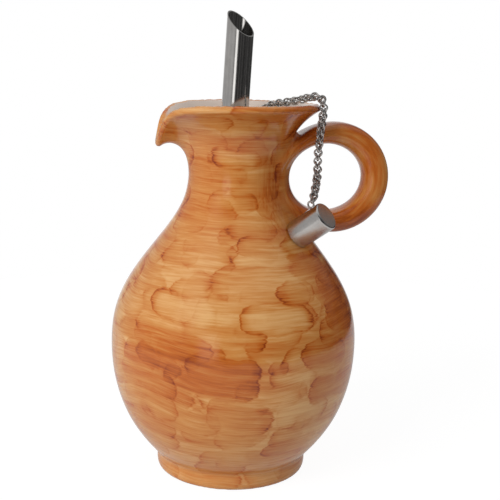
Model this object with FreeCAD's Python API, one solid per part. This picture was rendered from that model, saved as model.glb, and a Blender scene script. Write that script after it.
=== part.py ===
"""Hand-painted ceramic oil cruet: a jug with a drooping beak and a ring handle, a
stopper with a steel pouring tube, and a steel cap that hangs on a short chain.

Frame: +Z up, the origin at the middle of the jug's foot on the ground, the handle
towards +X and the beak towards -X. Millimetres.
"""
import FreeCAD, Part
import math
import os

V = FreeCAD.Vector

# Jug: foot and body
foot_radius = 33.3
foot_height = 7.4
foot_edge = 2.4             # rounding round the foot's lower edge
belly_radius = 54.0
belly_height = 57.0
belly_depth = 62.8          # how far the belly's ellipse would reach down
shoulder_fullness = 1.25    # 1 is a plain cosine shoulder, more is fuller
wall = 4.5
floor_height = 10.0
floor_radius = 24.0

# Jug: neck and mouth
waist_radius = 21.2
waist_height = 130.0
flare_reach = 13.6          # the rim's radius beyond the waist's
flare_rise = 30.4           # the rim's height above the waist's, up to its rounding
flare_curl = 3.5            # how late the flare opens
lip = 3.2                   # thickness of the rounded rim
lip_crown = 0.8             # height of its rounding
crown_heights = (0.75, 1.15, 0.75)  # of its rows, from outside to inside
rim_radius = waist_radius + flare_reach
rim_height = waist_height + flare_rise

# Jug: beak. Its underside leaves the waist, arches out and droops to the tip.
beak_half_angle = 17.5      # where the beak has fallen off to half its depth
beak_sharpness = 2.4
beak_arch = [(0.1, 4.0), (0.7, 8.0), (2.1, 11.4), (4.5, 13.9), (7.3, 15.0), (10.1, 14.9), (12.7, 13.4)]
flare_shares = [0.2, 0.38, 0.54, 0.68, 0.80, 0.90, 1.0]     # the flare's rows, one to each point

# Jug: ring handle, its left side pressed round the neck
ring_centre_x = waist_radius + 19.5
ring_centre_z = waist_height + 1.1
ring_half_length = 20.6     # along X, to the bar's middle
ring_half_height = 19.4
bar_thickness = 10.4        # in the ring's plane
bar_heel = 1.2              # thicker by this at the far side, thinner at the neck
bar_width = 14.0            # across the ring's plane
pad_width = 32.0            # where the clay is pressed onto the neck
pad_thickness = 4.6
pad_proud = 1.5             # how far the pad stands out of the neck
bar_round = 0.8             # 1 is an elliptic bar, less is squarer

# Stopper and pouring tube
stopper_gap = 0.25          # to the neck's waist
stopper_bottom = waist_height - 12.0
stopper_top = waist_height + 21.0
stopper_taper = 0.016       # radius gained for each millimetre of height
stopper_chamfer = 0.8
tube_radius = 5.85
tube_wall = 0.5
tube_fit = 0.05             # between the tube and its bore
tube_lean = 2.5             # degrees from upright, towards the handle
tube_x = -2.0               # the tube's middle at the stopper's top
tube_below = 4.0            # how far it reaches out under the stopper
tube_top = waist_height + 71.0      # highest point of the slanted cut
cut_slope = 43.8            # degrees from level
cut_turn = -48.0            # the cut's low side, degrees round from the handle

# Collar that ties the chain to the tube
collar_height = waist_height + 27.6
collar_tall = 1.8
collar_wall = 0.8
eye_radius = 1.3            # of every wire eye, to the wire's middle
eye_wire = 0.4              # wire radius
collar_turn = -22.0

# Cap, lying mouth down on the shoulder
cap_wall = 0.25
cap_clearance = 0.1         # round the tube, when it is on
cap_length = 16.5
cap_edge = 0.9
cap_seat_height = waist_height - 21.4
cap_turn = -39.3            # degrees round from the handle
cap_standoff = 0.0214       # from its mouth to the highest of the hollow shoulder under it
cap_eye_at = 12.6           # along the cap from its mouth

# Chain
chain_diameter = 3.6
chain_gap = 0.4             # from the chain's end to the eye that holds it
chain_way = [(-19.8, -5.4, 2.2), (-11.8, -8.4, 6.6), (-4.0, -11.0, 9.2), (3.0, -13.4, 7.2),
             (4.2, -14.2, -2.2), (1.8, -14.8, -11.8), (1.2, -15.4, -21.2), (-1.4, -18.4, -29.4)]
chain_bend = 0.45           # share of the shorter run that a corner's arc takes

around = 72                 # columns of the jug's skin
steps_low = 6               # rows from the foot to the belly
steps_high = 9              # rows from the belly to the waist
ring_rows = 32              # sections round the handle's ring
ring_columns = 16           # poles round its bar
clear = 5.0                 # how far a cutting tool overshoots


def polar(radius, angle, z):
    return V(radius * math.cos(angle), radius * math.sin(angle), z)


def body_radius(z):
    """Outer radius of the round body from the foot's crease to the waist."""
    if z <= belly_height:
        return belly_radius * math.sqrt(1 - ((belly_height - z) / belly_depth) ** 2)
    share = (z - belly_height) / (waist_height - belly_height)
    bend = math.cos(math.pi / 2 * share ** shoulder_fullness) ** 2
    return waist_radius + (belly_radius - waist_radius) * bend


def body_normal(z):
    """Outward normal of the body as (radial, up)."""
    slope = (body_radius(z + 0.5) - body_radius(z - 0.5))
    length = math.hypot(1.0, slope)
    return 1.0 / length, -slope / length


def flare_point(share):
    """Radius and height of the round flare, share 0 at the waist and 1 at the rim."""
    return (waist_radius + flare_reach * share ** flare_curl,
            waist_height + flare_rise * share)


def beak_weight(angle):
    """1 at the beak's middle, falling off to both sides."""
    off = abs(math.degrees(math.atan2(math.sin(angle - math.pi), math.cos(angle - math.pi))))
    return 1 / (1 + (off / beak_half_angle) ** beak_sharpness)


def ring_of(radius, z):
    return [polar(radius, a, z) for a in column_angles()]


def column_angles():
    return [math.pi / 2 + 2 * math.pi * j / around for j in range(around)]


def flare_row(share, beak_point):
    """One row of the mouth: the round flare, drawn down and out at the beak."""
    radius, z = flare_point(share)
    out, up = beak_point
    row = []
    for a in column_angles():
        w = beak_weight(a)
        row.append(polar(radius + w * (waist_radius + out - radius), a,
                         z + w * (waist_height + up - z)))
    return row


def tangent(rows, k, j):
    low, high = max(k - 1, 0), min(k + 1, len(rows) - 1)
    return (rows[high][j] - rows[low][j]).normalize()


def inward(rows, k, thickness):
    """The row of the inner wall that lies a thickness inside row k."""
    row = []
    for j in range(around):
        side = rows[k][(j + 1) % around] - rows[k][j - 1]
        normal = side.cross(tangent(rows, k, j)).normalize()
        row.append(rows[k][j] - normal * thickness)
    return row


def spread(rows, first, last, closed):
    """Move the rows from first to last so that a cubic skin passes through them."""
    moved = [list(row) for row in rows]
    count = len(rows)
    for k in range(first, last):
        before, after = rows[k - 1], rows[(k + 1) % count if closed else k + 1]
        for j in range(len(rows[k])):
            bend = before[j] + after[j] - rows[k][j] * 2
            moved[k][j] = rows[k][j] - bend * (1 / 6)
    return moved


def turned(rows):
    return [list(column) for column in zip(*rows)]


def spread_round(rows):
    return turned(spread(turned(rows), 0, len(rows[0]), True))


def skin(rows, closed):
    """Cubic surface over rows of poles, closed round each row and, if asked, along them."""
    degree = 3
    count = len(rows)
    surface = Part.BSplineSurface()
    knots = list(range(count + 1)) if closed else list(range(count - degree + 1))
    mults = [1] * len(knots)
    if not closed:
        mults[0] = mults[-1] = degree + 1
    ring = len(rows[0])
    surface.buildFromPolesMultsKnots(rows, mults, [1] * (ring + 1), knots,
                                     list(range(ring + 1)), closed, True, degree, degree)
    return surface


def solid_of(faces):
    shell = Part.Shell(faces)
    if len(faces) > 1:
        shell.sewShape()
    solid = Part.Solid(shell)
    if solid.Volume < 0:
        solid.reverse()
    return solid


def jug_rows():
    """Rows of the jug's wall from the foot, up the outside, over the rim and down inside."""
    foot = [ring_of(foot_radius - foot_edge * 1.2, 0),
            ring_of(foot_radius - foot_edge * 0.4, 0),
            ring_of(foot_radius, foot_edge * 0.5),
            ring_of(foot_radius + 0.2, foot_height * 0.52),
            ring_of(foot_radius, foot_height * 0.82),
            ring_of(body_radius(foot_height), foot_height),
            ring_of(body_radius(foot_height + 1.2), foot_height + 1.2)]
    outside = []
    for i in range(1, steps_low):
        z = foot_height + (belly_height - foot_height) * i / steps_low
        outside.append(ring_of(body_radius(z), z))
    for i in range(steps_high):
        z = belly_height + (waist_height - belly_height) * i / steps_high
        outside.append(ring_of(body_radius(z), z))
    outside.append(ring_of(waist_radius, waist_height))
    outside += [flare_row(share, point) for share, point in zip(flare_shares, beak_arch)]

    inside = []
    for k in range(len(outside)):
        to_rim = len(outside) - 1 - k
        thickness = lip + (wall - lip) * min(1.0, to_rim / 4)
        row = inward(outside, k, thickness)
        if row[0].z > floor_height + 6:
            inside.append(row)

    top = len(outside) - 1
    crown = []
    for side, height in zip((outside[-1], None, inside[-1]), crown_heights):
        row = []
        for j in range(around):
            base = side[j] if side else (outside[-1][j] + inside[-1][j]) * 0.5
            row.append(base + tangent(outside, top, j) * (lip_crown * height))
        crown.append(row)

    low = inside[0][0]
    low_radius = math.hypot(low.x, low.y)
    corner = [ring_of((low_radius + floor_radius) / 2 + 1.6, floor_height + 1.8),
              ring_of(floor_radius + 3.6, floor_height),
              ring_of(floor_radius, floor_height)]
    rows = foot + outside + crown + inside[::-1] + corner
    rim = len(foot) + len(outside)
    rows = spread(rows, len(foot) + 1, rim - 1, False)
    rows = spread(rows, rim + len(crown) + 1, len(rows) - len(corner) - 1, False)
    return spread_round(rows)


def jug_shell():
    outer = skin(jug_rows(), False).toShape()
    rings = [e for e in outer.Edges if len(e.Vertexes) == 1]
    return solid_of([outer] + [Part.Face(Part.Wire([e])) for e in rings])


def handle_point(turn, section):
    """A point of the ring's surface: turn runs round the ring, section round its bar."""
    near = ((1 - math.cos(turn)) / 2) ** 3      # 0 at the far side, 1 at the neck
    thickness = bar_thickness + bar_heel * math.cos(turn)
    thickness += near * (pad_thickness - thickness)
    width = bar_width + near * (pad_width - bar_width)
    across = math.copysign(abs(math.sin(section)) ** bar_round, math.sin(section)) * width / 2
    radial = math.copysign(abs(math.cos(section)) ** bar_round, math.cos(section)) * thickness / 2
    pad_middle = waist_radius + pad_proud - pad_thickness / 2
    middle_x = ring_centre_x + ring_half_length * math.cos(turn)
    middle_x += near ** 4 * (pad_middle - (ring_centre_x - ring_half_length))
    wrap = waist_radius - math.sqrt(waist_radius ** 2 - across ** 2)
    return V(middle_x + radial * math.cos(turn) - near * wrap, across,
             ring_centre_z + (ring_half_height + radial) * math.sin(turn))


def handle():
    rows = [[handle_point(2 * math.pi * i / ring_rows, 2 * math.pi * j / ring_columns)
             for j in range(ring_columns)] for i in range(ring_rows)]
    rows = spread_round(spread(rows, 0, ring_rows, True))
    return solid_of([skin(rows, True).toShape()])


def jug():
    return jug_shell().fuse(handle())


def tube_axis():
    lean = math.radians(tube_lean)
    return V(math.sin(lean), 0, math.cos(lean))


def on_tube(z):
    """Point of the tube's middle line at height z."""
    axis = tube_axis()
    return V(tube_x, 0, stopper_top) + axis * ((z - stopper_top) / axis.z)


def rod(radius, low_z, high_z):
    """A round rod along the tube's middle line between two heights."""
    start, end = on_tube(low_z), on_tube(high_z)
    return Part.makeCylinder(radius, (end - start).Length, start, tube_axis())


def stopper():
    top_radius = waist_radius - wall - stopper_gap + stopper_taper * (stopper_top - waist_height)
    bottom_radius = top_radius - stopper_taper * (stopper_top - stopper_bottom)
    cork = Part.makeCone(bottom_radius, top_radius, stopper_top - stopper_bottom,
                         V(0, 0, stopper_bottom))
    rims = [e for e in cork.Edges if len(e.Vertexes) == 1]
    cork = cork.makeChamfer(stopper_chamfer, rims)
    return cork.cut(rod(tube_radius + tube_fit, stopper_bottom - clear, stopper_top + clear))


def tube():
    low = stopper_bottom - tube_below
    pipe = rod(tube_radius, low, tube_top + clear)
    pipe = pipe.cut(rod(tube_radius - tube_wall, low - clear, tube_top + 2 * clear))
    turn, slope = math.radians(cut_turn), math.radians(cut_slope)
    low_side = V(math.cos(turn), math.sin(turn), 0)
    rise = V(low_side.x * math.sin(slope), low_side.y * math.sin(slope), math.cos(slope))
    high_point = on_tube(tube_top) - low_side * tube_radius
    half = 5 * tube_radius
    blade = Part.makeBox(2 * half, 2 * half, half, V(-half, -half, 0))
    blade.Placement = FreeCAD.Placement(high_point, FreeCAD.Rotation(V(0, 0, 1), rise))
    return pipe.cut(blade)


def eye(centre, axis):
    """A small wire ring round an axis."""
    return Part.makeTorus(eye_radius, eye_wire, centre, axis)


def collar_eye_centre():
    turn = math.radians(collar_turn)
    reach = tube_radius + tube_fit + collar_wall + eye_radius
    return on_tube(collar_height) + V(math.cos(turn), math.sin(turn), 0) * reach


def collar():
    low, high = collar_height - collar_tall / 2, collar_height + collar_tall / 2
    band = rod(tube_radius + tube_fit + collar_wall, low, high)
    turn = math.radians(collar_turn)
    ring = eye(collar_eye_centre(), V(-math.sin(turn), math.cos(turn), 0))
    return band.fuse(ring).cut(rod(tube_radius + tube_fit, low - clear, high + clear))


def cap_frame():
    """The cap's mouth centre, its axis and the direction of its eye."""
    turn = math.radians(cap_turn)
    radial, up = body_normal(cap_seat_height)
    axis = V(radial * math.cos(turn), radial * math.sin(turn), up)
    seat = polar(body_radius(cap_seat_height), turn, cap_seat_height)
    upright = V(0, 0, 1)
    side = (upright - axis * upright.dot(axis)).normalize()
    across = axis.cross(side)
    rises = []
    for k in range(around):
        angle = 2 * math.pi * k / around
        point = seat + (side * math.cos(angle) + across * math.sin(angle)) * cap_radius()
        rises.append((body_radius(point.z) - math.hypot(point.x, point.y)) * radial)
    return seat + axis * (max(rises) + cap_standoff), axis, side


def rounded_rod(radius, length, start, axis, edge):
    """A cylinder whose far end has a rounded edge."""
    body = Part.makeCylinder(radius, length, start, axis)
    far = start + axis * length
    ends = [e for e in body.Edges if len(e.Vertexes) == 1 and e.CenterOfMass.distanceToPoint(far) < edge]
    return body.makeFillet(edge, ends)


def cap_radius():
    return tube_radius + cap_clearance + cap_wall


def cap_eye_centre():
    mouth, axis, side = cap_frame()
    return mouth + axis * cap_eye_at + side * (cap_radius() + eye_radius)


def cap():
    mouth, axis, side = cap_frame()
    body = rounded_rod(cap_radius(), cap_length, mouth, axis, cap_edge)
    ring = eye(cap_eye_centre(), axis.cross(side))
    bore = rounded_rod(cap_radius() - cap_wall, cap_length - cap_wall + clear,
                       mouth - axis * clear, axis, cap_edge - cap_wall)
    return body.fuse(ring).cut(bore)


def chain_route():
    """Points of the chain's way from the collar, over the rim and down to the cap."""
    hold = eye_radius + eye_wire + chain_gap
    route = [V(rim_radius + x, y, rim_height + z) for x, y, z in chain_way]
    first, last = collar_eye_centre(), cap_eye_centre()
    return ([first + (route[0] - first).normalize() * hold] + route
            + [last + (route[-1] - last).normalize() * hold])


def chain():
    """A plain tube along straight runs joined by tangent arcs."""
    route = chain_route()
    edges, start, total = [], route[0], 0.0
    for before, corner, after in zip(route, route[1:], route[2:]):
        run_in, run_out = corner - before, after - corner
        turn = run_in.getAngle(run_out)
        trim = chain_bend * min(run_in.Length, run_out.Length)
        first = corner - V(run_in).normalize() * trim
        last = corner + V(run_out).normalize() * trim
        radius = trim / math.tan(turn / 2)
        print("chain radius %.1f, turn %.0f degrees" % (radius, math.degrees(turn)))
        inside = ((first - corner) + (last - corner)).normalize()
        middle = corner + inside * (radius / math.cos(turn / 2) - radius)
        edges += [Part.LineSegment(start, first).toShape(), Part.Arc(first, middle, last).toShape()]
        start = last
    edges.append(Part.LineSegment(start, route[-1]).toShape())
    path = Part.Wire(edges)
    circle = Part.Circle(route[0], route[1] - route[0], chain_diameter / 2)
    tube_solid = path.makePipeShell([Part.Wire(circle.toShape())], True, False)
    print("chain length %.1f, volume %.1f of %.1f" % (
        path.Length, tube_solid.Volume, path.Length * math.pi * (chain_diameter / 2) ** 2))
    return tube_solid


os.makedirs("parts", exist_ok=True)
for name, make in (("jug", jug), ("stopper", stopper), ("tube", tube),
                   ("collar", collar), ("cap", cap), ("chain", chain)):
    shape = make()
    box = shape.BoundBox
    print("%s valid %s solids %d volume %.0f  x %.1f..%.1f  y %.1f..%.1f  z %.1f..%.1f" % (
        name, shape.isValid(), len(shape.Solids), shape.Volume,
        box.XMin, box.XMax, box.YMin, box.YMax, box.ZMin, box.ZMax))
    shape.exportStep("parts/%s.step" % name)
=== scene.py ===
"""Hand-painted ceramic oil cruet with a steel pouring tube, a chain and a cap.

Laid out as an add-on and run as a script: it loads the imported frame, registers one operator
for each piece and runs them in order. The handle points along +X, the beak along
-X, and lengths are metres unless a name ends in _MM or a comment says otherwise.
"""
import math
import random

import bmesh
import bpy
import numpy as np
from mathutils import Matrix, Vector
from mathutils.bvhtree import BVHTree
from mathutils.kdtree import KDTree


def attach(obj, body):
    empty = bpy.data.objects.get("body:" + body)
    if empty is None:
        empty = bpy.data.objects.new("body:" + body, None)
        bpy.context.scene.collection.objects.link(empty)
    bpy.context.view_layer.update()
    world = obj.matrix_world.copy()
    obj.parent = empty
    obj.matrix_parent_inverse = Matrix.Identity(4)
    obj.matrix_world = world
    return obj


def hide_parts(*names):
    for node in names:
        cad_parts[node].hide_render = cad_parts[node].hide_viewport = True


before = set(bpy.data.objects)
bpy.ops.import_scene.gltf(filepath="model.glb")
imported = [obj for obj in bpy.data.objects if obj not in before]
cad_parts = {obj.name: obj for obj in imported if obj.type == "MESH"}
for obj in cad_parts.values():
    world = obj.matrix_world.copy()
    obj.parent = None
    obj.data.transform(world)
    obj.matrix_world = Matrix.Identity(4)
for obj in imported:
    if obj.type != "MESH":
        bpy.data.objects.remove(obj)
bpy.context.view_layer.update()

bl_info = {
    "name": "Ceramic Oil Cruet",
    "version": (1, 0, 0),
    "blender": (4, 5, 0),
    "location": "View3D > Sidebar > Cruet",
    "description": "Builds a hand-painted oil cruet round its packed frame",
    "category": "Object",
}

MM = 0.001

# Jug, as the part's own sizes give it
BELLY_RADIUS_MM = 54.0
BELLY_HEIGHT_MM = 57.0
BELLY_DEPTH_MM = 62.8
WAIST_RADIUS_MM = 21.2
WAIST_HEIGHT_MM = 130.0
SHOULDER_FULLNESS = 1.25
FLARE_REACH_MM = 13.6
FLARE_RISE_MM = 30.4
FLARE_CURL = 3.5
FOOT_HEIGHT_MM = 7.4
FOOT_RADIUS_MM = 33.3
FILLET = 2.2 * MM            # reach of the clay that fills the handle's crease
NOTCH_FILLET = 5.0 * MM      # and of what fills the notch between its top and the flare
CREASE_FROM = 0.095          # the heights from which each of them is looked for
NOTCH_FROM = 0.139
SOFT_REACH = 1.6             # in fillets: points nearer the crease than this are smoothed
FREE_REACH = 0.7             # and those nearer than this aren't held to the surface
RING_CENTRE_MM = (40.7, 131.1)      # handle's middle along X and Z

# Chain: control points of its line, from the collar's eye over the rim to the cap's eye
CHAIN_ROUTE_MM = [
    (7.51, -3.46, 158.57), (12.4, -5.4, 162.4), (18.2, -8.2, 163.4), (23.6, -10.8, 164.6),
    (28.2, -12.8, 166.0), (32.4, -14.4, 166.6), (33.9, -15.2, 162.4), (32.9, -15.3, 155.0),
    (32.2, -15.2, 148.0), (31.9, -15.4, 140.0), (31.7, -16.8, 133.0), (30.4, -19.6, 127.8),
    (29.03, -22.09, 123.82)]
CHAIN_END = 0.3 * MM         # from each end of the line to the middle of the nearest pair

CAMERA_PLACE = (-0.05776, -0.41096, 0.18027)
CAMERA_RIGHT = Vector((0.98845, -0.14925, 0.02626))
CAMERA_UP = Vector((0.00337, 0.19491, 0.98082))
CAMERA_AHEAD = Vector((0.15151, 0.96940, -0.19316))

# Painted dabs on the front: angle round the jug and height of the middle, half length, half
# height, tilt, strength of the wash, then how dark the left and right ends' outlines are.
# Each row of the list is one coat, and later coats cover earlier ones.
FRONT_DABS = [
    [],
    [(-150, 91, 13, 7.0, -6, .34, .1, .6), (-132, 93, 11, 6.0, 3, .10, .5, .1),
     (-84, 93.5, 20, 6.8, -3, .22, .8, .1), (-105, 80.5, 10.5, 5.6, 2, .10, .9, .3),
     (-140, 52, 16, 6.5, -6, .34, .2, .6), (-78, 38, 12, 5.2, -5, .06, .2, .3),
     (-58, 101, 12, 3.6, -8, .42, .9, .2), (-138, 133, 13, 7.0, 0, .36, .3, .5),
     (-62, 28, 15, 5.4, -4, .34, .7, .1), (-126, 117, 13, 7.0, -4, .36, .1, .6)],
    [(-122, 89.5, 9.5, 5.6, 0, .24, .7, .2), (-128, 69, 19, 7.4, -10, .46, .2, .6),
     (-71, 55.4, 11, 4.4, -4, .06, .7, .2), (-63, 88.5, 10, 5.8, -6, .32, 1., .4),
     (-100, 140.5, 11, 4.6, 0, .04, .9, .2), (-118, 37, 14, 7.0, -8, .40, .1, .6),
     (-80, 49, 12, 4.2, -4, .14, .2, .3), (-91, 123, 6, 4.5, 0, .36, .0, .6),
     (-112, 5.0, 15, 4.4, 0, .38, .1, .8), (-118, 104, 12, 4.6, -6, .30, .2, .5)],
    [(-124, 82.5, 16, 6.4, -10, .08, 1., .1), (-102, 61, 16, 5.4, -6, .46, .1, 1.),
     (-105, 54, 18, 6.0, -4, .48, .1, .9), (-48, 48, 13, 6.0, -3, .46, .9, .2),
     (-94, 71.5, 10, 4.2, -4, .34, .1, 1.), (-40, 86, 12, 5.6, -12, .50, .3, .4),
     (-36, 76, 12, 5.6, -8, .52, .5, .4), (-140, 42, 17, 6.0, -6, .28, .3, .5),
     (-82, 105, 9, 5.0, -24, .34, .8, .1)],
    [(-77, 80, 17, 6.4, -4, .12, 1., .8), (-52, 64, 14, 6.4, -6, .50, 1., .4),
     (-94, 38.3, 14, 7.2, -5, .42, .2, 1.), (-78.5, 60.8, 4.2, 2.9, -3, .56, .7, .5),
     (-133, 61, 13, 4.4, -14, .50, .5, .4), (-66, 22, 12, 4.8, -3, .44, .9, .1)],
]
FILL_COATS = 2      # of these coats, how many also get scattered dabs on the front
FRONT_FROM, FRONT_TO = -176, -24        # the front, in degrees round the jug
FRONT_FOOT_MM, FRONT_TOP_MM = 12, 150


# ---------------------------------------------------------------- shader maths

class Value:
    """A number or socket of a material, on which Python's own operators add Math nodes."""

    def __init__(self, shader, source):
        self.shader = shader
        self.source = source

    def maths(self, operation, other=None, swap=False, **settings):
        pair = [self] if other is None else [other, self] if swap else [self, other]
        return self.shader.add("ShaderNodeMath", {"operation": operation, **settings}, pair)

    def __add__(self, other): return self.maths("ADD", other)
    def __radd__(self, other): return self.maths("ADD", other, True)
    def __sub__(self, other): return self.maths("SUBTRACT", other)
    def __rsub__(self, other): return self.maths("SUBTRACT", other, True)
    def __mul__(self, other): return self.maths("MULTIPLY", other)
    def __rmul__(self, other): return self.maths("MULTIPLY", other, True)
    def __truediv__(self, other): return self.maths("DIVIDE", other)
    def __pow__(self, other): return self.maths("POWER", other)
    def clamped(self): return self.maths("ADD", 0.0, use_clamp=True)

    def step(self, low, high):
        """0 below low and 1 above high, smooth between."""
        return self.shader.add("ShaderNodeMapRange", {"interpolation_type": "SMOOTHSTEP"},
                               {"Value": self, "From Min": low, "From Max": high})


class Shader:
    """The nodes of a material or of the world, all added by one method."""

    def __init__(self, owner):
        owner.use_nodes = True
        self.owner = owner
        self.tree = owner.node_tree
        self.tree.nodes.clear()

    def add(self, kind, settings=None, inputs=None, output=0):
        node = self.tree.nodes.new(kind)
        for key, value in (settings or {}).items():
            if key == "stops":
                ramp = node.color_ramp
                while len(ramp.elements) > 1:
                    ramp.elements.remove(ramp.elements[-1])
                for i, (place, colour) in enumerate(value):
                    stop = ramp.elements[0] if i == 0 else ramp.elements.new(place)
                    stop.position = place
                    stop.color = colour
            else:
                setattr(node, key, value)
        pairs = enumerate(inputs) if isinstance(inputs, (list, tuple)) else (inputs or {}).items()
        for key, value in pairs:
            socket = node.inputs[key]
            if isinstance(value, Value):
                self.tree.links.new(value.source, socket)
            else:
                socket.default_value = value
        return Value(self, node.outputs[output]) if node.outputs else node

    def place_mm(self):
        """The surface point in the frame, in millimetres."""
        at = self.add("ShaderNodeTexCoord", output="Object")
        return self.add("ShaderNodeVectorMath", {"operation": "SCALE"},
                        {0: at, "Scale": 1000.0})

    def scaled(self, vector, x, y, z):
        return self.add("ShaderNodeVectorMath", {"operation": "MULTIPLY"},
                        {0: vector, 1: (x, y, z)})

    def parts(self, vector):
        split = self.add("ShaderNodeSeparateXYZ", None, {0: vector})
        outputs = split.source.node.outputs
        return [Value(self, outputs[i]) for i in range(3)]

    def vector(self, x, y, z):
        return self.add("ShaderNodeCombineXYZ", None, [x, y, z])

    def noise(self, vector, scale=1.0, detail=3.0, rough=0.5):
        return self.add("ShaderNodeTexNoise", None, {
            "Vector": vector, "Scale": scale, "Detail": detail, "Roughness": rough})

    def attribute(self, name, output="Fac"):
        return self.add("ShaderNodeAttribute", {"attribute_name": name}, None, output)

    def ramp(self, value, stops):
        shown = [(place, (*colour, 1.0)) for place, colour in stops]
        return self.add("ShaderNodeValToRGB", {"stops": shown}, [value])

    def mix(self, share, a, b):
        """Colour a where share is 0, b where it is 1."""
        a, b = (c if isinstance(c, Value) else (*c, 1.0) for c in (a, b))
        return self.add("ShaderNodeMix", {"data_type": "RGBA"}, {0: share, 6: a, 7: b}, 2)

    def finish(self, **inputs):
        shader = self.add("ShaderNodeBsdfPrincipled", None, {
            key.replace("_", " "): value for key, value in inputs.items()})
        self.add("ShaderNodeOutputMaterial", None, [shader])
        return self.owner


def new_material(name):
    return Shader(bpy.data.materials.new(name))


def paint(red, green, blue):
    """A colour as a painter reads it off a chart, made linear for the shader."""
    return tuple(((c / 255 + 0.055) / 1.055) ** 2.4 if c > 10 else c / 255 / 12.92
                 for c in (red, green, blue))


# ---------------------------------------------------------------- settings

class CruetGlaze(bpy.types.PropertyGroup):
    cream: bpy.props.FloatVectorProperty(
        name="Cream", description="Glaze where the wash is thinnest", subtype="COLOR",
        size=3, min=0, max=1, default=paint(232, 180, 118))
    honey: bpy.props.FloatVectorProperty(
        name="Honey", description="Glaze under one wash", subtype="COLOR",
        size=3, min=0, max=1, default=paint(213, 143, 74))
    amber: bpy.props.FloatVectorProperty(
        name="Amber", description="Glaze under two washes", subtype="COLOR",
        size=3, min=0, max=1, default=paint(196, 103, 34))
    russet: bpy.props.FloatVectorProperty(
        name="Russet", description="Glaze where the wash has pooled", subtype="COLOR",
        size=3, min=0, max=1, default=paint(140, 54, 12))
    # Painted shade: this inside white is dimmer than the glaze's own white, for the shade inside the
    # neck.
    inside: bpy.props.FloatVectorProperty(
        name="Inside", description="White glaze inside the mouth", subtype="COLOR",
        size=3, min=0, max=1, default=paint(216, 198, 184))
    voxel: bpy.props.FloatProperty(
        name="Grain of the mesh", description="Edge length of the jug's faces",
        default=1.2 * MM, min=0.5 * MM, max=3 * MM, unit="LENGTH")


class CruetSteel(bpy.types.PropertyGroup):
    colour: bpy.props.FloatVectorProperty(
        name="Steel", description="Colour of the polished steel", subtype="COLOR",
        size=3, min=0, max=1, default=(0.62, 0.60, 0.58))


class CruetChain(bpy.types.PropertyGroup):
    ring: bpy.props.FloatProperty(
        name="Ring", description="Radius of a ring to the middle of its wire",
        default=1.52 * MM, unit="LENGTH")
    wire: bpy.props.FloatProperty(
        name="Wire", description="Radius of the rings' wire",
        default=0.36 * MM, unit="LENGTH")
    pitch: bpy.props.FloatProperty(
        name="Pitch", description="From one pair of rings to the next",
        default=1.72 * MM, unit="LENGTH")
    lean: bpy.props.FloatProperty(
        name="Lean", description="How far the two rings of a pair cross, in degrees",
        default=16, min=0, max=45)


class CruetStage(bpy.types.PropertyGroup):
    lens: bpy.props.FloatProperty(
        name="Lens", description="Focal length on a 36 mm sensor, in millimetres",
        default=69.16, min=10, max=300)
    lamp: bpy.props.FloatProperty(
        name="Lamps", description="Power of the main soft lamp", default=7.5, min=0,
        unit="POWER")
    floor: bpy.props.FloatProperty(
        name="Floor", description="Radius of the pale floor", default=0.4, min=0.15,
        unit="LENGTH")
    fill: bpy.props.FloatProperty(
        name="Room", description="Brightness of the room round the table", default=0.32,
        min=0, max=2)


# ---------------------------------------------------------------- shared mesh helpers

def new_piece(name, mesh, material):
    piece = bpy.data.objects.new(name, mesh)
    bpy.context.scene.collection.objects.link(piece)
    if material:
        mesh.materials.clear()
        mesh.materials.append(material)
    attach(piece, "root")
    return piece


def mesh_of(bm, name):
    mesh = bpy.data.meshes.new(name)
    bm.to_mesh(mesh)
    bm.free()
    mesh.shade_smooth()
    return mesh


def repaint(node, material):
    """Give a carried-over node its material."""
    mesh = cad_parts[node].data
    mesh.materials.clear()
    mesh.materials.append(material)


def body_radius(z):
    """Outer radius in millimetres of the round body and flare at the heights z."""
    z = np.asarray(z, float)
    low = BELLY_RADIUS_MM * np.sqrt(np.clip(1 - ((BELLY_HEIGHT_MM - z) / BELLY_DEPTH_MM) ** 2, 0, 1))
    share = np.clip((z - BELLY_HEIGHT_MM) / (WAIST_HEIGHT_MM - BELLY_HEIGHT_MM), 0, 1)
    high = WAIST_RADIUS_MM + (BELLY_RADIUS_MM - WAIST_RADIUS_MM) * np.cos(
        np.pi / 2 * share ** SHOULDER_FULLNESS) ** 2
    rise = np.clip((z - WAIST_HEIGHT_MM) / FLARE_RISE_MM, 0, 1.1)
    flare = WAIST_RADIUS_MM + FLARE_REACH_MM * rise ** FLARE_CURL
    radius = np.where(z < BELLY_HEIGHT_MM, low, np.where(z < WAIST_HEIGHT_MM, high, flare))
    return np.where(z < FOOT_HEIGHT_MM, FOOT_RADIUS_MM, radius)


# ---------------------------------------------------------------- materials

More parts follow.
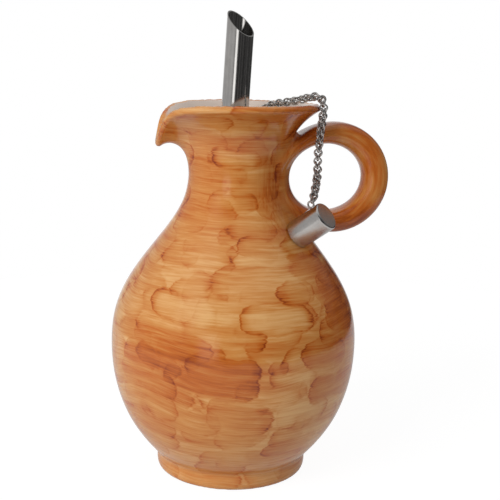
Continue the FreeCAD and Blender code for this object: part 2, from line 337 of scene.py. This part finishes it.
def glaze_material(settings):
    """Honey glaze with washes of darker colour and painted shade, a white inside dimmed by painted
    shade, and bare under the foot.
    """
    s = new_material("painted_glaze")
    at = s.place_mm()
    x, y, z = s.parts(at)
    handle = s.attribute("handle")
    inside = s.attribute("inside")
    slope, upright, darker_washes_and_shade = s.parts(s.attribute("flow_and_shade", "Vector"))
    drift = s.noise(at, 0.035, 2.0)

    # Bristle lines run level round the body, upright beside the handle's foot
    level = z + slope * x + (s.noise(at, 0.03, 1.0) - 0.5) * 5.0
    lines = s.noise(s.vector(x * 0.07, y * 0.07, level * 1.5), 1.0, 3.0, 0.62)
    posts = s.noise(s.vector(x * 0.9, y * 0.9, z * 0.04), 1.0, 3.0, 0.6)
    fine = lines * (1 - upright) + posts * upright
    broad = s.noise(s.vector(x * 0.03, y * 0.03, level * 0.36), 1.0, 2.0, 0.5)

    # and along the ring of the handle
    ring_x, ring_z = x - RING_CENTRE_MM[0], z - RING_CENTRE_MM[1]
    reach = (ring_x * ring_x + ring_z * ring_z) ** 0.5
    turn = ring_z.maths("ARCTAN2", ring_x)
    along = s.noise(s.vector(reach * 0.8, turn * 1.6, y * 0.55), 1.0, 4.0, 0.55)
    patch = s.noise(s.vector(reach * 0.10, turn * 1.1, y * 0.09), 1.0, 2.0)

    # How deep the wash lies, with painted shade added below: each coat of dabs covers the last and
    # pools at its edges
    wash_and_shade = 0.20 + (broad - 0.5) * 0.6 + (drift - 0.5) * 0.4
    ragged = (fine - 0.5) * 3.2 + (s.noise(at, 0.10, 2.0) - 0.5) * 6.0
    for coat in range(len(FRONT_DABS)):
        d, tone, edge = s.parts(s.attribute("coat_%d" % coat, "Vector"))
        d = d + ragged
        cover = 1 - d.step(-0.35, 0.25)
        wash = 1 - d.step(-3.5, 0.3)
        line = d.step(-1.2, -0.35) * cover
        halo = d.step(-5.5, -0.3) ** 1.6 * cover
        wash_and_shade = wash_and_shade + (tone - wash_and_shade) * (wash * 0.78)
        wash_and_shade = wash_and_shade + (line * 0.24 + halo * 0.32) * edge
    # Painted shade: the right side, the flare's right and the handle's lower part are darkened here
    # along with the paint's broad darker washes, and the handle takes the same painted shade.
    wash_and_shade = wash_and_shade + darker_washes_and_shade + (fine - 0.5) * (0.25 + drift * 0.95) + (broad - 0.5) * 0.45
    grip = 0.34 + darker_washes_and_shade * 0.9 + (along - 0.5) * 0.85 + (patch - 0.5) * 0.9
    wash_and_shade = wash_and_shade + (grip - wash_and_shade) * handle
    outer = s.ramp(wash_and_shade.clamped(), [(0.0, settings.cream), (0.34, settings.honey),
                                     (0.66, settings.amber), (1.0, settings.russet)])
    cloud = s.noise(at, 0.08, 2.0)
    # Painted shade: the inside's white is dimmer than the glaze's own white, with grey clouds.
    white = s.mix(cloud.step(0.3, 0.8) * 0.35, settings.inside, paint(194, 176, 164))
    glazed = s.mix(inside.step(-0.05, 0.12), outer, white)
    bare = s.attribute("bare").step(0.4, 0.6)
    clay = s.mix(s.noise(at, 0.9, 4.0), paint(196, 160, 124), paint(168, 128, 94))
    colour = s.mix(bare, glazed, clay)

    ripple = s.noise(s.scaled(at, 0.05, 0.05, 0.09), 1.0, 2.0)
    height = ripple * 0.25 + fine * 0.012 + s.noise(at, 3.0, 2.0) * 0.004
    bump = s.add("ShaderNodeBump", None, {"Strength": 1.0, "Distance": MM, "Height": height})
    rough = 0.14 + (fine - 0.5) * 0.06 + bare * 0.6
    return s.finish(Base_Color=colour, Roughness=rough, IOR=1.5, Normal=bump)


def steel_material(settings, name, brushed, rough):
    """Polished steel with faint drawn lines along the piece."""
    s = new_material(name)
    at = s.place_mm()
    lines = s.noise(s.scaled(at, *brushed), 1.0, 4.0, 0.6)
    smear = s.noise(at, 0.25, 3.0)
    tone = s.mix((lines * 0.55 + smear * 0.45).step(0.25, 0.8),
                 [c * 0.84 for c in settings.colour], [c * 1.12 for c in settings.colour])
    bump = s.add("ShaderNodeBump", None, {"Strength": 1.0, "Distance": MM,
                                          "Height": lines * 0.006 + smear * 0.01})
    return s.finish(Base_Color=tone, Metallic=1.0, Roughness=rough + lines * 0.08, Normal=bump)


def cork_material():
    s = new_material("pressed_cork")
    at = s.place_mm()
    grains = s.add("ShaderNodeTexVoronoi", None, {"Vector": at, "Scale": 0.55}, "Color")
    grain = s.parts(grains)[0]
    pits = s.noise(at, 1.4, 4.0, 0.65)
    body = s.mix(grain, paint(176, 128, 82), paint(206, 162, 112))
    colour = s.mix(pits.step(0.56, 0.7), body, paint(96, 60, 36))
    bump = s.add("ShaderNodeBump", None, {"Strength": 1.0, "Distance": MM, "Height": pits * -0.35})
    return s.finish(Base_Color=colour, Roughness=0.75 + pits * 0.2, Normal=bump)


# ---------------------------------------------------------------- chain

def route_points():
    """The chain's smooth line, read from a NURBS spline through its control points."""
    curve = bpy.data.curves.new("chain_line", "CURVE")
    curve.dimensions = "3D"
    curve.resolution_u = 24
    spline = curve.splines.new("NURBS")
    spline.points.add(len(CHAIN_ROUTE_MM) - 1)
    for point, place in zip(spline.points, CHAIN_ROUTE_MM):
        point.co = (*(c * MM for c in place), 1.0)
    spline.order_u = 3
    spline.use_endpoint_u = True
    holder = bpy.data.objects.new("chain_line", curve)
    bpy.context.scene.collection.objects.link(holder)
    bpy.context.view_layer.update()
    mesh = bpy.data.meshes.new_from_object(holder.evaluated_get(bpy.context.evaluated_depsgraph_get()))
    points = [v.co.copy() for v in mesh.vertices]
    bpy.data.objects.remove(holder)
    bpy.data.curves.remove(curve)
    bpy.data.meshes.remove(mesh)
    return points


def add_ring(bm, settings):
    """A closed wire ring: a small circle spun round."""
    around, across = 20, 7
    start = Matrix.Translation((settings.ring, 0, 0)) @ Matrix.Rotation(math.pi / 2, 4, "X")
    made = bmesh.ops.create_circle(bm, cap_ends=False, segments=across, radius=settings.wire,
                                   matrix=start)
    verts = made["verts"]
    edges = list({e for v in verts for e in v.link_edges})
    bmesh.ops.spin(bm, geom=verts + edges, cent=(0, 0, 0), axis=(0, 0, 1),
                   angle=2 * math.pi, steps=around, use_merge=True, use_duplicate=False)


def chain_mesh(settings, line):
    """Pairs of rings, each pair through the last and a quarter turn round from it."""
    steps = [0.0]
    for a, b in zip(line, line[1:]):
        steps.append(steps[-1] + (b - a).length)
    total = steps[-1]
    count = round((total - 2 * CHAIN_END) / settings.pitch)
    pitch = (total - 2 * CHAIN_END) / count
    rng = random.Random(7)
    bm = bmesh.new()
    side = Vector((0.2, -1.0, 0.1))
    for i in range(count + 1):
        reach = CHAIN_END + pitch * i
        k = min(max(j for j in range(len(steps)) if steps[j] <= reach), len(line) - 2)
        share = (reach - steps[k]) / (steps[k + 1] - steps[k])
        centre = line[k].lerp(line[k + 1], share)
        ahead = (line[min(k + 3, len(line) - 1)] - line[max(k - 2, 0)]).normalized()
        side = (side - ahead * side.dot(ahead)).normalized()
        turn = (math.pi / 2 if i % 2 else 0.0) + math.radians(28 + 7 * i + rng.uniform(-9, 9))
        across = Matrix.Rotation(turn, 3, ahead) @ side
        normal = ahead.cross(across)
        for sign in (-1, 1):
            twist = Matrix.Rotation(math.radians(sign * 7 + rng.uniform(-4, 4)), 3, ahead)
            lean = Matrix.Rotation(math.radians(sign * settings.lean), 3, across)
            axes = [twist @ lean @ axis for axis in (across, ahead, normal)]
            frame_matrix = Matrix(axes).transposed().to_4x4()
            place = centre + normal * (sign * settings.wire * 1.15)
            ring = bmesh.new()
            add_ring(ring, settings)
            bmesh.ops.transform(ring, matrix=Matrix.Translation(place) @ frame_matrix, verts=ring.verts)
            piece = bpy.data.meshes.new("ring")
            ring.to_mesh(piece)
            ring.free()
            bm.from_mesh(piece)
            bpy.data.meshes.remove(piece)
    bmesh.ops.recalc_face_normals(bm, faces=bm.faces)
    return mesh_of(bm, "chain_links"), total


# ---------------------------------------------------------------- jug

def merged_copy(node):
    """The node's loose triangles joined into one surface."""
    bm = bmesh.new()
    bm.from_mesh(node.data)
    bmesh.ops.remove_doubles(bm, verts=bm.verts, dist=0.001 * MM)
    return bm


def crease_tree(bm, lowest):
    """The points above a height where the handle meets the neck at an angle."""
    points = [(e.verts[0].co + e.verts[1].co) / 2 for e in bm.edges
              if e.is_manifold and e.calc_face_angle() > math.radians(24)
              and e.verts[0].co.z > lowest]
    tree = KDTree(len(points))
    for i, point in enumerate(points):
        tree.insert(point, i)
    tree.balance()
    return tree


def smooth(bm, verts, times=1):
    for _ in range(times):
        bmesh.ops.smooth_vert(bm, verts=verts, factor=0.5, use_axis_x=True, use_axis_y=True,
                              use_axis_z=True)


def even_mesh(node, voxel):
    """The node's shape in even faces, with the handle's crease filled as clay fills it."""
    merged = merged_copy(node)
    surface = BVHTree.FromBMesh(merged)
    crease = crease_tree(merged, CREASE_FROM)
    notch = crease_tree(merged, NOTCH_FROM)
    mesh = mesh_of(merged, "jug_even")
    holder = bpy.data.objects.new("jug_even", mesh)
    bpy.context.scene.collection.objects.link(holder)
    remesh = holder.modifiers.new("Even", "REMESH")
    remesh.mode = "VOXEL"
    remesh.voxel_size = voxel
    bpy.context.view_layer.update()
    even = bpy.data.meshes.new_from_object(holder.evaluated_get(bpy.context.evaluated_depsgraph_get()))
    bpy.data.objects.remove(holder)
    bpy.data.meshes.remove(mesh)
    bm = bmesh.new()
    bm.from_mesh(even)
    bpy.data.meshes.remove(even)

    # How far each point lies from the crease, in units of the fillet that it gets there
    far = [min(crease.find(v.co)[2] / FILLET, notch.find(v.co)[2] / NOTCH_FILLET)
           for v in bm.verts]
    soft = [v for v, reach in zip(bm.verts, far) if reach < SOFT_REACH]

    def hug(everywhere):
        """Bring points back to the surface; in the fillet, only those that sank below it."""
        for v, reach in zip(bm.verts, far):
            if reach >= SOFT_REACH and not everywhere:
                continue
            place, normal = surface.find_nearest(v.co)[:2]
            pull = min(max(reach - FREE_REACH, 0.0) / FREE_REACH, 1.0)
            if (v.co - place).dot(normal) < 0:
                pull = 1.0
            if pull:
                v.co = v.co.lerp(place, pull)

    smooth(bm, bm.verts)
    hug(True)
    for _ in range(9):
        smooth(bm, soft, 4)
        hug(False)
    smooth(bm, bm.verts)
    hug(True)
    return bm


def inner_share(co, normals):
    """How squarely each point faces the vessel's middle line: above 0 on the inner wall."""
    x, y, z = co.T
    lift = np.interp(z, [0, 30, 110, 140, 150, 200], [30, 30, 110, 150, 150, 200])
    out = co - np.stack([np.clip(x * 0.6, -30, 0), np.zeros_like(x), lift], 1)
    facing = -(normals * out).sum(1) / np.linalg.norm(out, axis=1)
    outside = (x > 0) & (np.hypot(x, y) > body_radius(z) - 1.2) & (z < 158)
    crown = 0.36 * np.clip((z - 150) / 5, 0, 1)
    return np.where(outside, -1.0, facing - crown)


def dab_field(dabs, angle, radius, z):
    """For one coat: how far outside the nearest dab, its wash and its edge's strength."""
    best = np.full(len(z), 50.0)
    tone = np.zeros(len(z))
    edge = np.zeros(len(z))
    for turn, height, half_long, half_high, tilt, wash, left, right in dabs:
        r0 = float(body_radius(height))
        slope = float(body_radius(height + 0.5) - body_radius(height - 0.5))
        up_r, up_z = slope / math.hypot(slope, 1), 1 / math.hypot(slope, 1)
        off = (angle - turn + 180) % 360 - 180
        u = np.radians(off) * r0
        v = (radius - r0) * up_r + (z - height) * up_z
        c, s = math.cos(math.radians(tilt)), math.sin(math.radians(tilt))
        u, v = u * c + v * s, v * c - u * s
        straight = max(half_long - half_high * 1.15, 0.0)
        past = np.clip(np.abs(u) - straight, 0, None) / 1.15
        d = np.hypot(past, v) - half_high
        better = d < best
        best = np.where(better, d, best)
        along = np.clip(u / half_long, -1, 1)
        tone = np.where(better, wash + 0.10 * (left - right) * -along, tone)
        strength = left + (right - left) * (0.5 + 0.5 * np.tanh(along * 2.2))
        at_end = past / np.maximum(d + half_high, 0.01)
        edge = np.where(better, strength * (0.35 + 0.65 * at_end), edge)
    return best, tone, edge


def scattered_dabs():
    """Dabs in staggered rows: pale ones everywhere, and the rest of the jug's behind."""
    rng = random.Random(23)
    coats = []
    for coat in range(len(FRONT_DABS)):
        fill = coat < FILL_COATS
        dabs = []
        z = 6.0 + 3.5 * coat
        row = coat
        while z < 160:
            r = float(body_radius(z))
            count = max(3, round(2 * math.pi * r / (27 if fill else 44)))
            for k in range(count):
                turn = 360 / count * (k + 0.5 * (row % 2)) + rng.uniform(-12, 12)
                turn = (turn + 180) % 360 - 180
                half_long = rng.uniform(10, 17) * min(1.0, r / 40 + 0.15)
                dab = (turn, z + rng.uniform(-3, 3), half_long, rng.uniform(4.8, 6.8),
                       rng.uniform(-12, 4), rng.uniform(0.06, 0.44), rng.uniform(0.3, 0.9),
                       rng.uniform(0.1, 0.8))
                margin = math.degrees(half_long / r)
                in_front = (FRONT_FROM < turn + margin and turn - margin < FRONT_TO
                            and FRONT_FOOT_MM < z < FRONT_TOP_MM)
                if fill or not in_front:
                    dabs.append(dab)
            z += 10.5
            row += 1
        coats.append(dabs)
    return coats


def write_floats(mesh, name, values):
    layer = mesh.attributes.new(name, "FLOAT", "POINT")
    layer.data.foreach_set("value", np.ascontiguousarray(values, np.float32))


def paint_fields(mesh):
    """Write what the glaze reads: dabs, handle, inside, bare foot, and broad darker washes with painted
    shade.
    """
    co = np.zeros(len(mesh.vertices) * 3)
    mesh.vertices.foreach_get("co", co)
    co = co.reshape(-1, 3) / MM
    x, y, z = co.T
    radius = np.hypot(x, y)
    angle = np.degrees(np.arctan2(y, x))
    extra = scattered_dabs()
    for coat, dabs in enumerate(FRONT_DABS):
        layer = mesh.attributes.new("coat_%d" % coat, "FLOAT_VECTOR", "POINT")
        field = np.stack(dab_field(dabs + extra[coat], angle, radius, z), 1)
        layer.data.foreach_set("vector", field.astype(np.float32).ravel())
    beyond = radius - body_radius(z)
    handle = np.clip((beyond - 0.4) / 1.0, 0, 1) * (x > 5) * (z > 100)
    write_floats(mesh, "handle", handle)
    normals = np.zeros(len(mesh.vertices) * 3)
    mesh.vertices.foreach_get("normal", normals)
    normals = normals.reshape(-1, 3)
    inner = inner_share(co, normals)
    print("jug: %d points, %.0f %% of them inside" % (len(co), 100 * (inner > 0).mean()))
    write_floats(mesh, "inside", inner)
    faces_down = normals[:, 2] < -0.7
    write_floats(mesh, "bare", np.clip((0.5 - z) / 0.5, 0, 1) * faces_down)

    def near(turn, height, wide, high):
        """1 at an angle round the jug and a height, falling away smoothly."""
        off = (angle - turn + 180) % 360 - 180
        return np.exp(-(off / wide) ** 2 - ((z - height) / high) ** 2)

    low_left = near(-135, 50, 34, 24)
    upright = np.clip(near(-58, 125, 19, 17) * 1.6 - 0.3, 0, 1)
    flare = 1 / (1 + np.exp(-(z - 148) / 3))
    band = near(-118, 60, 40, 13)
    # Darker washes and painted shade: low_left and band are the paint's own darker washes; near -24
    # degrees the right side gets darker paint and painted shade on the side away from the lamp; the
    # flare's right near its top and the handle's lower part get painted shade; it also darkens
    # everything from the shoulder up and beside the handle's foot.
    darker_washes_and_shade = (0.12 / (1 + np.exp(-(z - 108) / 6)) + 0.08 * low_left + 0.22 * band
             + 0.34 * near(-24, 84, 24, 36) + 0.30 * flare * near(-20, 150, 34, 60)
             + 0.14 * upright + 0.20 * near(-20, 112, 40, 14) * handle)
    # flow_and_shade carries the bristles' slope, where they stand upright, and the darker washes with
    # painted shade.
    layer = mesh.attributes.new("flow_and_shade", "FLOAT_VECTOR", "POINT")
    flow_and_shade = np.stack([0.16 * low_left, upright, darker_washes_and_shade], 1)
    layer.data.foreach_set("vector", flow_and_shade.astype(np.float32).ravel())


# ---------------------------------------------------------------- operators

class CRUET_OT_camera(bpy.types.Operator):
    """Place the camera"""
    bl_idname = "cruet.camera"
    bl_label = "Camera"

    def execute(self, context):
        settings = context.scene.cruet_stage
        data = bpy.data.cameras.new("camera")
        data.sensor_width = 36
        data.lens = settings.lens
        camera = bpy.data.objects.new("camera", data)
        turn = Matrix((CAMERA_RIGHT, CAMERA_UP, -CAMERA_AHEAD)).transposed().to_4x4()
        camera.matrix_world = Matrix.Translation(CAMERA_PLACE) @ turn
        context.scene.collection.objects.link(camera)
        context.scene.camera = camera
        return {"FINISHED"}


class CRUET_OT_chain(bpy.types.Operator):
    """Hang the chain from the collar over the rim to the cap"""
    bl_idname = "cruet.chain"
    bl_label = "Chain"

    def execute(self, context):
        line = route_points()
        steel = steel_material(context.scene.cruet_steel, "chain_steel", (1.0, 1.0, 1.0), 0.14)
        mesh, length = chain_mesh(context.scene.cruet_chain, line)
        piece = new_piece("chain_links", mesh, steel)
        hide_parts("chain")
        return {"FINISHED"}


class CRUET_OT_jug(bpy.types.Operator):
    """Even out the jug's mesh and glaze it"""
    bl_idname = "cruet.jug"
    bl_label = "Jug"

    def execute(self, context):
        settings = context.scene.cruet_glaze
        bm = even_mesh(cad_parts["jug"], settings.voxel)
        mesh = mesh_of(bm, "glazed_jug")
        paint_fields(mesh)
        piece = new_piece("glazed_jug", mesh, glaze_material(settings))
        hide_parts("jug")
        return {"FINISHED"}


class CRUET_OT_stopper(bpy.types.Operator):
    """Give the stopper its cork"""
    bl_idname = "cruet.stopper"
    bl_label = "Stopper"

    def execute(self, context):
        repaint("stopper", cork_material())
        return {"FINISHED"}


class CRUET_OT_steelware(bpy.types.Operator):
    """Finish the tube, its collar and the cap in steel"""
    bl_idname = "cruet.steelware"
    bl_label = "Tube, collar and cap"

    def execute(self, context):
        settings = context.scene.cruet_steel
        drawn = steel_material(settings, "drawn_steel", (3.0, 3.0, 0.05), 0.06)
        satin = steel_material(settings, "satin_steel", (2.0, 2.0, 2.0), 0.20)
        repaint("tube", drawn)
        repaint("collar", drawn)
        repaint("cap", satin)
        return {"FINISHED"}


class CRUET_OT_stage(bpy.types.Operator):
    """Lay the pale floor and set the lamps and the room's light"""
    bl_idname = "cruet.stage"
    bl_label = "Stage"

    def execute(self, context):
        settings = context.scene.cruet_stage
        context.scene.view_settings.view_transform = "Standard"
        self.floor(context)
        self.lamp(context, "key", (-0.72, -0.58, 0.58), 0.6, settings.lamp)
        self.lamp(context, "side", (0.60, 0.10, 0.65), 0.5, settings.lamp * 0.10)
        self.room(context, settings)
        return {"FINISHED"}

    def floor(self, context):
        bm = bmesh.new()
        bmesh.ops.create_circle(bm, cap_ends=True, segments=96,
                                radius=context.scene.cruet_stage.floor)
        piece = bpy.data.objects.new("floor", mesh_of(bm, "floor"))
        context.scene.collection.objects.link(piece)
        s = new_material("pale_floor")
        matt = s.add("ShaderNodeBsdfDiffuse", None, {"Color": (0.72, 0.72, 0.72, 1)})
        glow = s.add("ShaderNodeEmission", None, {"Color": (1, 1, 1, 1), "Strength": 1.12})
        seen, mirrored = self.rays(s)
        both = s.add("ShaderNodeMixShader", None, [seen * 0.84 + mirrored * 0.3, matt, glow])
        s.add("ShaderNodeOutputMaterial", None, [both])
        piece.data.materials.append(s.owner)

    def rays(self, shader):
        """1 for what the camera sees, and 1 for what a shiny surface mirrors."""
        outputs = shader.add("ShaderNodeLightPath").source.node.outputs
        return Value(shader, outputs["Is Camera Ray"]), Value(shader, outputs["Is Glossy Ray"])

    def lamp(self, context, name, place, size, power):
        data = bpy.data.lights.new(name, "AREA")
        data.shape = "SQUARE"
        data.size = size
        data.energy = power
        lamp = bpy.data.objects.new(name, data)
        aim = Vector((0, 0, 0.09)) - Vector(place)
        facing = aim.to_track_quat("-Z", "Y").to_matrix().to_4x4()
        lamp.matrix_world = Matrix.Translation(place) @ facing
        lamp.visible_glossy = False
        context.scene.collection.objects.link(lamp)

    def room(self, context, settings):
        """Even light all round; a shiny surface mirrors a white backdrop and a dim room."""
        world = bpy.data.worlds.new("room")
        s = Shader(world)
        x, y, z = s.parts(s.add("ShaderNodeTexCoord"))
        turn = y.maths("ARCTAN2", x) * (180 / math.pi)

        def wall(middle, half, edge):
            """1 within half degrees of a direction round the room."""
            off = (turn - middle + 540).maths("MODULO", 360.0) - 180
            return 1 - off.maths("ABSOLUTE").step(half - edge, half + edge)

        backdrop = wall(85, 20, 8) * 0.8
        grey_wall = wall(165, 60, 6) * 0.42
        side_wall = wall(25, 40, 12) * z.step(0.12, 0.26) * 0.12
        strip_lamp = wall(-121, 9, 4) * z.step(-0.25, -0.05) * (1 - z.step(0.1, 0.45)) * 1.4
        ceiling = z.step(0.55, 0.9) * 0.5
        table = (1 - z.step(-0.5, -0.25)) * 0.5
        bands = s.noise(s.vector(turn * 0.11, 0.0, 0.0), 1.0, 4.0, 0.7).step(0.4, 0.75) * 0.16
        mirror = 0.015 + bands + backdrop + grey_wall + side_wall + strip_lamp + ceiling + table
        seen, mirrored = self.rays(s)
        level = seen + mirrored * mirror + (1 - seen - mirrored) * settings.fill
        light = s.add("ShaderNodeBackground", None, {"Color": (1, 1, 1, 1), "Strength": level})
        s.add("ShaderNodeOutputWorld", None, [light])
        context.scene.world = world


class CRUET_PT_panel(bpy.types.Panel):
    bl_label = "Oil cruet"
    bl_idname = "CRUET_PT_panel"
    bl_space_type = "VIEW_3D"
    bl_region_type = "UI"
    bl_category = "Cruet"

    def draw(self, context):
        for group in GROUPS:
            settings = getattr(context.scene, group)
            for key in settings.bl_rna.properties.keys():
                if key not in ("rna_type", "name"):
                    self.layout.prop(settings, key)
        for operator in OPERATORS:
            self.layout.operator(operator.bl_idname)


GROUPS = {"cruet_glaze": CruetGlaze, "cruet_steel": CruetSteel, "cruet_chain": CruetChain,
          "cruet_stage": CruetStage}
OPERATORS = (CRUET_OT_camera, CRUET_OT_chain, CRUET_OT_jug, CRUET_OT_stopper,
             CRUET_OT_steelware, CRUET_OT_stage)


def register():
    for group in (*GROUPS.values(), *OPERATORS, CRUET_PT_panel):
        bpy.utils.register_class(group)
    for name, group in GROUPS.items():
        setattr(bpy.types.Scene, name, bpy.props.PointerProperty(type=group))


def unregister():
    for name in GROUPS:
        delattr(bpy.types.Scene, name)
    for group in (CRUET_PT_panel, *reversed(OPERATORS), *GROUPS.values()):
        bpy.utils.unregister_class(group)


def main():
    register()
    for operator in OPERATORS:
        getattr(bpy.ops.cruet, operator.bl_idname.split(".")[1])()


if __name__ == "__main__":
    main()
